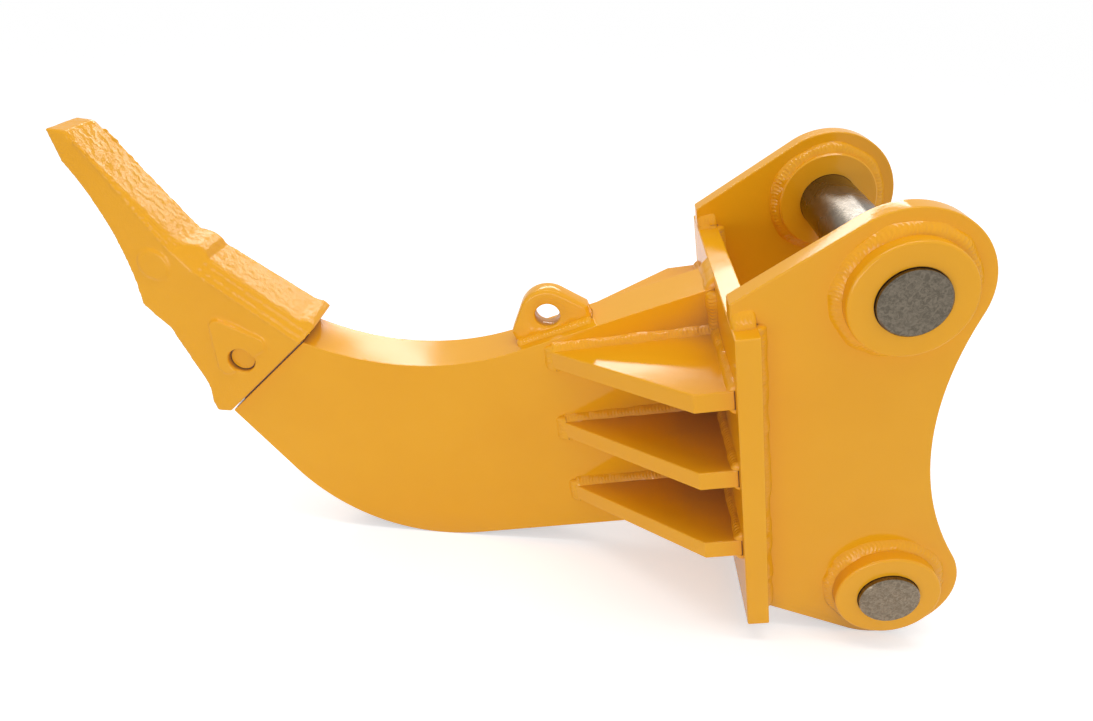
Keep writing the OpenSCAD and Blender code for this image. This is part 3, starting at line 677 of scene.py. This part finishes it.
def eye_outline(turn):
    """Distance from the hole's axis to the eye's outline, at an angle from the shank's top edge."""
    lean = abs((math.pi / 2 - turn + math.pi) % (2 * math.pi) - math.pi)
    reach = EYE_RADIUS
    if lean > EYE_FLANK:
        reach = EYE_RADIUS / max(LEAST_COSINE, math.cos(lean - EYE_FLANK))
        reach = min(reach, EYE_FOOT / max(LEAST_COSINE, math.sin(lean)))
    if lean > math.pi / 2:
        reach = min(reach, EYE_UP / max(LEAST_COSINE, -math.cos(lean)))
    return reach

print("eye's hole, mm:", round(2 * hole_radius / MM, 1))

# %% The eye with its ground rim
EYE_STEPS = 240
RIM = 6 * MM
RIM_STEPS = 4
HOLE_CHAMFER = 1.5 * MM

def ring(shape, place, steps, radius_at, shift_at):
    """A loop of points round the Z axis of a place: radius and shift along Z follow the angle."""
    turns = [2 * math.pi * i / steps for i in range(steps)]
    return [
        shape.verts.new(place @ Vector((radius_at(t) * math.cos(t), radius_at(t) * math.sin(t), shift_at(t))))
        for t in turns
    ]

eye_half = eye_high.y
mouth_radius = hole_radius + HOLE_CHAMFER
shape = bmesh.new()
rings = []
for y in (eye_half - HOLE_CHAMFER, HOLE_CHAMFER - eye_half):
    rings.append(ring(shape, EYE, EYE_STEPS, lambda t: hole_radius, lambda t, y=y: y))
rings.append(ring(shape, EYE, EYE_STEPS, lambda t: mouth_radius, lambda t: -eye_half))
for side in (-1, 1):
    for i in range(RIM_STEPS + 1):
        roll = math.pi / 2 * (i / RIM_STEPS if side < 0 else 1 - i / RIM_STEPS)
        inset = RIM * (1 - math.sin(roll))
        shift = side * (eye_half - RIM * (1 - math.cos(roll)))
        rings.append(ring(shape, EYE, EYE_STEPS, lambda t, d=inset: eye_outline(t) - d, lambda t, y=shift: y))
rings.append(ring(shape, EYE, EYE_STEPS, lambda t: mouth_radius, lambda t: eye_half))
skin(shape, rings, True)
finished_piece(shape, "ground_lifting_eye", plate_enamel, "paint", "lifting_eye")

# %% [markdown]
# The eye has a bead along each side of its foot. These beads stay low, so that a shackle pin still
# passes through the hole.

# %% Beads along the lifting eye
EYE_LEG = 11 * MM
EYE_LEG_UP = 7 * MM
EYE_SEED = 160
eye_root = hole_centre - off_slope * EYE_UP
shape = bmesh.new()
for side, face in ((-1, eye_low.y), (1, eye_high.y)):
    start = eye_root - up_slope * EYE_FOOT + Vector((0, face, 0))
    end = eye_root + up_slope * EYE_FOOT + Vector((0, face, 0))
    along_foot = straight_seam(start, end, (0, side, 0), off_slope)
    lay_bead(shape, along_foot, EYE_LEG, EYE_LEG_UP, False, EYE_SEED + side)
finished_piece(shape, "eye_weld_beads", plate_enamel, "paint", "eye_welds")

# %% [markdown]
# ## The cast tooth
#
# The tooth is cast in a sand mould, so nothing on it is as crisp as on the plates: edges are round,
# the top carries the sand's grain, and along the bevels the mould's parting left bumpy ridges. The
# CAD solid has its shape with sharp edges.
#
# Sculpting by hand isn't repeatable, and displacement in the shader wouldn't be exported. So the CAD
# shape is resampled on a fine grid, smoothed until its edges are round, and then each point is moved
# along its normal by a formula: sand grain on top, less on the sides, and the ridges. These are
# given in the seat frame: u stands up from the nose, v runs along the tooth to its tip, and the
# tooth's own pin is the origin.

# %% The seat frame and the lip's bevel
LIP_START = 118 * MM
LIP_END = 168 * MM
LIP_EDGE_U = 62 * MM
LIP_FALL = 0.04
LIP_HALF = 41.5 * MM
LIP_BEVEL_H = 24 * MM
LIP_BEVEL_IN = 11 * MM
CUT_LENGTHS = 3
SEAT_LEAN = math.radians(34.2)
seat_place = TO_SIDE @ box_centre("tooth_pin")
seat_u = Vector((math.cos(SEAT_LEAN), 0, math.sin(SEAT_LEAN)))
seat_v = Vector((-math.sin(SEAT_LEAN), 0, math.cos(SEAT_LEAN)))
SEAT = Matrix((seat_u, Vector((0, 1, 0)), seat_v)).transposed().to_4x4()
SEAT.translation = Vector((seat_place.x, 0, seat_place.z))
SEAT = SIDE @ SEAT
TO_SEAT = SEAT.inverted()
TURN_TO_SEAT = TO_SEAT.to_3x3()

def lip_cutter():
    """Two wedges that carry the side bevels on past the lip, as one temporary object."""
    shape = bmesh.new()
    for side in (-1, 1):
        loops = []
        for v in (LIP_START, LIP_END):
            u = LIP_EDGE_U - LIP_FALL * (v - LIP_START)
            y = side * LIP_HALF
            far_u = u + CUT_LENGTHS * LIP_BEVEL_H
            far_y = y - side * CUT_LENGTHS * LIP_BEVEL_IN
            corners = ((u, y), (far_u, far_y), (far_u, 2 * y), (u, 2 * y))
            loops.append([shape.verts.new(SEAT @ Vector((a, b, v))) for a, b in corners])
        skin(shape, loops, False)
    bmesh.ops.recalc_face_normals(shape, faces=shape.faces)
    mesh = bpy.data.meshes.new("lip_cutter")
    shape.to_mesh(mesh)
    shape.free()
    return bpy.data.objects.new("lip_cutter", mesh)

print("tooth pin in the side frame, mm:", [round(v / MM, 1) for v in seat_place])

# %% The tooth on a fine grid
GRID = 1.9 * MM
SOFTENING = 5
SOFT_SHARE = 0.5

def resampled(node, cutter):
    """A new mesh with a CAD node's shape, less the cutter, on an even grid with rounded edges."""
    stand_in = bpy.data.objects.new(node + "_resampled", frame["nodes"][node].data.copy())
    for temporary in (stand_in, cutter):
        bpy.context.scene.collection.objects.link(temporary)
    joined = stand_in.modifiers.new("join", "WELD")
    joined.merge_threshold = JOIN_GAP
    cut = stand_in.modifiers.new("lip_bevel", "BOOLEAN")
    cut.operation = "DIFFERENCE"
    cut.object = cutter
    even = stand_in.modifiers.new("even_grid", "REMESH")
    even.mode = "VOXEL"
    even.voxel_size = GRID
    soft = stand_in.modifiers.new("soft_edges", "SMOOTH")
    soft.factor = SOFT_SHARE
    soft.iterations = SOFTENING
    shaped = stand_in.evaluated_get(bpy.context.evaluated_depsgraph_get())
    mesh = bpy.data.meshes.new_from_object(shaped)
    for temporary in (stand_in, cutter):
        bpy.data.objects.remove(temporary)
    return mesh

tooth_mesh = resampled("ripper_tooth", lip_cutter())
print("tooth grid:", len(tooth_mesh.vertices), "points")

# %% [markdown]
# A ridge is a line on the tooth's side, given by its height u at a place v along the tooth. Its
# profile across is a narrow bell, and a fine noise along it breaks it into bumps.

# %% Ridges
RIDGE_HALF = 1.8 * MM
RIDGE_HEIGHT = 2.0 * MM
RIDGE_BUMP = 6 * MM
BUMP_MEAN = 0.55
BUMP_SPREAD = 0.75
BUMP_ROW_STEP = 5.0
BUMP_ROW = 0.3
BLADE_ROOT = 165 * MM
BEVEL_STOP = 335 * MM
SOCKET_LIP = 126 * MM
SOCKET_EDGE = 82 * MM
SOCKET_FALL = 0.155
SOCKET_ROWS = [0 * MM, 9 * MM, 19 * MM]
BLADE_EDGE = 62 * MM
BLADE_RISE = 0.206
BLADE_ROWS = [0 * MM, 6 * MM, 12 * MM]

def ridge_lines(v):
    """Heights u of the ridges at a place along the tooth."""
    if v < SOCKET_LIP:
        return [SOCKET_EDGE - SOCKET_FALL * v + row for row in SOCKET_ROWS]
    if BLADE_ROOT < v < BEVEL_STOP:
        left = (BEVEL_STOP - v) / (BEVEL_STOP - BLADE_ROOT)
        return [BLADE_EDGE + BLADE_RISE * (v - BLADE_ROOT) + row * left for row in BLADE_ROWS]
    return []

def ridge_height(u, v):
    height = 0.0
    for row, line in enumerate(ridge_lines(v)):
        along = Vector((v / RIDGE_BUMP, row * BUMP_ROW_STEP, BUMP_ROW))
        bumps = max(0.0, BUMP_MEAN + BUMP_SPREAD * noise.noise(along))
        height += RIDGE_HEIGHT * bumps * math.exp(-((u - line) / RIDGE_HALF) ** 2)
    return height

print("ridges on each side:", len(SOCKET_ROWS), "on the socket and", len(BLADE_ROWS), "on the blade")

# %% Sand grain
GRAIN = [(28 * MM, 0.4 * MM), (8 * MM, 0.45 * MM), (4 * MM, 0.25 * MM)]
SIDE_SHARE = 0.18
UNDER_SHARE = 0.7
INNER_LIMIT = 40 * MM
FACING_START = 0.15
FACING_FULL = 0.7
FLANK_START = 0.3
FLANK_FULL = 0.8
RIDGE_FACING = 0.2

def smooth_step(low, high, value):
    t = min(1.0, max(0.0, (value - low) / (high - low)))
    return t * t * (3 - 2 * t)

def roughness_share(u, normal, side):
    """How rough the casting is: full on top, less below, least on the sides, none in the socket."""
    top = smooth_step(FACING_START, FACING_FULL, normal.x) if u > INNER_LIMIT else 0.0
    below = UNDER_SHARE * smooth_step(FACING_START, FACING_FULL, -normal.x) if u < INNER_LIMIT else 0.0
    flank = SIDE_SHARE * smooth_step(FLANK_START, FLANK_FULL, normal.y * side)
    return max(top, below, flank)

def cast_lift(place, normal):
    """How far a point of the tooth moves along its normal, both given in the seat frame."""
    side = 1 if place.y > 0 else -1
    lift = sum(size * noise.noise(place / patch) for patch, size in GRAIN)
    lift *= roughness_share(place.x, normal, side)
    if normal.y * side > RIDGE_FACING:
        lift += ridge_height(place.x, place.z)
    return lift

normals = [vertex.normal.copy() for vertex in tooth_mesh.vertices]
lifts = [cast_lift(TO_SEAT @ v.co, TURN_TO_SEAT @ n) for v, n in zip(tooth_mesh.vertices, normals)]
for vertex, normal, lift in zip(tooth_mesh.vertices, normals, lifts):
    vertex.co += normal * lift

tooth_mesh.materials.clear()
tooth_mesh.materials.append(cast_enamel)
tooth_mesh.shade_smooth()
ripper_piece(tooth_mesh, "cast_tooth", "cast_paint", "ripper_tooth")

# %% [markdown]
# ## Lock bolts
#
# On the far side a bolt goes across each boss and its pin, so that the pin can't turn or slide out.
# Two nuts lock against each other on its end. The CAD frame has plain hexagons and a plain rod. A
# real hexagon is turned at its corners, which leaves a curved chamfer, and the end has a thread. Both
# are made of rings again, because their radius is a simple formula of the angle.

# %% Hexagons and threads
TURN_STEPS = 48
CHAMFER = math.radians(30)
CROWN_SHARE = 0.97
FLATS = 18 * MM
BOLT = 12 * MM
HEAD = 8 * MM
NUT = 10 * MM
NUT_GAP = 0.3 * MM
NUT_TURN = math.radians(15)
THREAD = 1.75 * MM
THREAD_DEPTH = 1.0 * MM
THREAD_RUN = 9 * MM
THREAD_STEPS = 8
TIP_CHAMFER = 1.2 * MM
ALONG_X = Matrix(((0, 0, 1), (1, 0, 0), (0, 1, 0))).to_4x4()

def hexagon_rings(shape, place, x0, x1, turn, bore):
    """Rings of a chamfered hexagon from x0 to x1, with a bore or, where bore is 0, solid."""
    crown = CROWN_SHARE * FLATS / 2
    def corner(t):
        return FLATS / 2 / math.cos((t - turn) % (math.pi / 3) - math.pi / 6)
    def drop(t):
        return max(0.0, corner(t) - crown) * math.tan(CHAMFER)
    rings = [
        ring(shape, place, TURN_STEPS, lambda t: crown, lambda t: x0),
        ring(shape, place, TURN_STEPS, corner, lambda t: x0 + drop(t)),
        ring(shape, place, TURN_STEPS, corner, lambda t: x1 - drop(t)),
        ring(shape, place, TURN_STEPS, lambda t: crown, lambda t: x1),
    ]
    if bore:
        rings.insert(0, ring(shape, place, TURN_STEPS, lambda t: bore, lambda t: x0))
        rings.append(ring(shape, place, TURN_STEPS, lambda t: bore, lambda t: x1))
    return rings

def rod_radius(t, x, start, end):
    """Radius of the bolt's rod at an angle and a place: plain, then threaded, chamfered at its end."""
    if x <= start:
        return BOLT / 2
    phase = (t / (2 * math.pi) + x / THREAD) % 1
    tip = max(0.0, TIP_CHAMFER - (end - x))
    return BOLT / 2 - THREAD_DEPTH * abs(2 * phase - 1) - tip

print("lock bolts: M", round(BOLT / MM), "with", THREAD / MM, "mm pitch")

# %% Both lock bolts with their nuts
for level in ("upper", "lower"):
    low, high = side_box(f"{level}_lock_bolt")
    place = SIDE @ Matrix.Translation((0, (low.y + high.y) / 2, (low.z + high.z) / 2)) @ ALONG_X
    shape = bmesh.new()
    skin(shape, hexagon_rings(shape, place, low.x, low.x + HEAD, 0, 0), False)
    start, end = high.x - THREAD_RUN, high.x
    steps = round(THREAD_RUN / THREAD * THREAD_STEPS)
    stations = [low.x + HEAD] + [start + THREAD_RUN * i / steps for i in range(steps + 1)]
    rod = [
        ring(shape, place, TURN_STEPS, lambda t: rod_radius(t, x, start, end), lambda t: x)
        for x in stations
    ]
    skin(shape, rod, False)
    finished_piece(shape, f"{level}_threaded_lock_bolt", zinc, "zinc_steel", f"{level}_lock_bolt")
    nuts_start = side_box(f"{level}_lock_nuts")[0].x
    shape = bmesh.new()
    for row in range(2):
        x0 = nuts_start + row * (NUT + NUT_GAP)
        skin(shape, hexagon_rings(shape, place, x0, x0 + NUT, NUT_TURN * row, BOLT / 2), True)
    finished_piece(shape, f"{level}_chamfered_lock_nuts", zinc, "zinc_steel", f"{level}_lock_nuts")

# %% [markdown]
# ## Light
#
# The part stands in a plain studio on pale paper that keeps its shadow. The viewer sees the paper and
# the world as white, and so do mirrored rays. The light that falls on the paint is the dimmer fill,
# so the background stays clean without washing out the colour.

# %% Paper floor
FLOOR_SIZE = 40.0
FLOOR_GLOW = 0.48
floor_half = FLOOR_SIZE / 2
corners = [(x * floor_half, y * floor_half, 0) for x, y in ((-1, -1), (1, -1), (1, 1), (-1, 1))]
floor_mesh = bpy.data.meshes.new("floor")
floor_mesh.from_pydata(corners, [], [(0, 1, 2, 3)])
floor = bpy.data.objects.new("floor", floor_mesh)
bpy.context.scene.collection.objects.link(floor)

def seen_share(tree):
    """1 for rays that show a picture: straight to the viewer, mirrored or through glass."""
    rays = add(tree, "ShaderNodeLightPath").outputs
    mirrored = add(
        tree, "ShaderNodeMath", {"operation": "MAXIMUM"},
        links={0: rays["Is Camera Ray"], 1: rays["Is Glossy Ray"]},
    )
    seen = add(
        tree, "ShaderNodeMath", {"operation": "MAXIMUM"},
        links={0: mirrored.outputs[0], 1: rays["Is Transmission Ray"]},
    )
    return seen.outputs[0]

floor_paper, tree = new_material("white_studio_paper")
glow_strength = add(
    tree, "ShaderNodeMath", {"operation": "MULTIPLY"}, {1: FLOOR_GLOW}, {0: seen_share(tree)},
)
glow = add(tree, "ShaderNodeEmission", links={"Strength": glow_strength.outputs[0]})
paper = add(tree, "ShaderNodeBsdfDiffuse", inputs={"Color": linear("#E6E6E6")})
both = add(tree, "ShaderNodeAddShader", links={0: glow.outputs["Emission"], 1: paper.outputs["BSDF"]})
add(tree, "ShaderNodeOutputMaterial", links={"Surface": both.outputs["Shader"]})
floor_mesh.materials.append(floor_paper)
print("floor:", FLOOR_SIZE, "m square")

# %% [markdown]
# The fill comes from all round. It is stronger on the right and from above, as in a room with a
# window on one side, so the plates that face left fall into half shade.

# %% World
FILL_LEFT = 0.22
FILL_RIGHT = 0.66
FILL_ABOVE = 0.32
SEEN_LEVEL = 1.0
world = bpy.data.worlds.new("studio")
bpy.context.scene.world = world
world.use_nodes = True
tree = world.node_tree
tree.nodes.clear()
towards = add(tree, "ShaderNodeTexCoord").outputs["Generated"]
heading = add(tree, "ShaderNodeSeparateXYZ", links={"Vector": towards})
around = add(
    tree, "ShaderNodeMapRange",
    inputs={"From Min": -1.0, "From Max": 1.0, "To Min": FILL_LEFT, "To Max": FILL_RIGHT},
    links={"Value": heading.outputs["X"]},
)
above = add(
    tree, "ShaderNodeMapRange", inputs={"To Max": FILL_ABOVE},
    links={"Value": heading.outputs["Z"]},
)
fill = add(tree, "ShaderNodeMath", links={0: around.outputs["Result"], 1: above.outputs["Result"]})
level = add(
    tree, "ShaderNodeMapRange", inputs={"To Max": SEEN_LEVEL},
    links={"Value": seen_share(tree), "To Min": fill.outputs[0]},
)
sky = add(
    tree, "ShaderNodeBackground", inputs={"Color": linear("#FFFFFF")},
    links={"Strength": level.outputs["Result"]},
)
add(tree, "ShaderNodeOutputWorld", links={"Surface": sky.outputs["Background"]})
print("world:", world.name)

# %% [markdown]
# Three soft boxes shape the part: one low in front for the sides, a long one behind that the upward
# faces mirror towards the viewer, and a narrow one overhead that lights the ridges and beads.

# %% Soft boxes
MIDDLE = Vector((0, 0, 0.3))

def soft_box(name, place, width, height, watts):
    """A soft box lamp that faces the middle of the part, in metres."""
    lamp = bpy.data.lights.new(name, "AREA")
    lamp.shape = "RECTANGLE"
    lamp.size = width
    lamp.size_y = height
    lamp.energy = watts
    holder = bpy.data.objects.new(name, lamp)
    bpy.context.scene.collection.objects.link(holder)
    holder.location = place
    holder.rotation_euler = (MIDDLE - Vector(place)).to_track_quat("-Z", "Y").to_euler()

soft_box("front_panel", (-0.35, -2.2, 0.25), width=2.2, height=0.6, watts=15)
soft_box("back_panel", (-0.25, 2.6, 1.87), width=3.0, height=0.30, watts=27)
soft_box("top_panel", (0.0, -0.3, 2.3), width=2.2, height=0.25, watts=13)

# %% Finish
bpy.context.scene.view_settings.view_transform = "Standard"
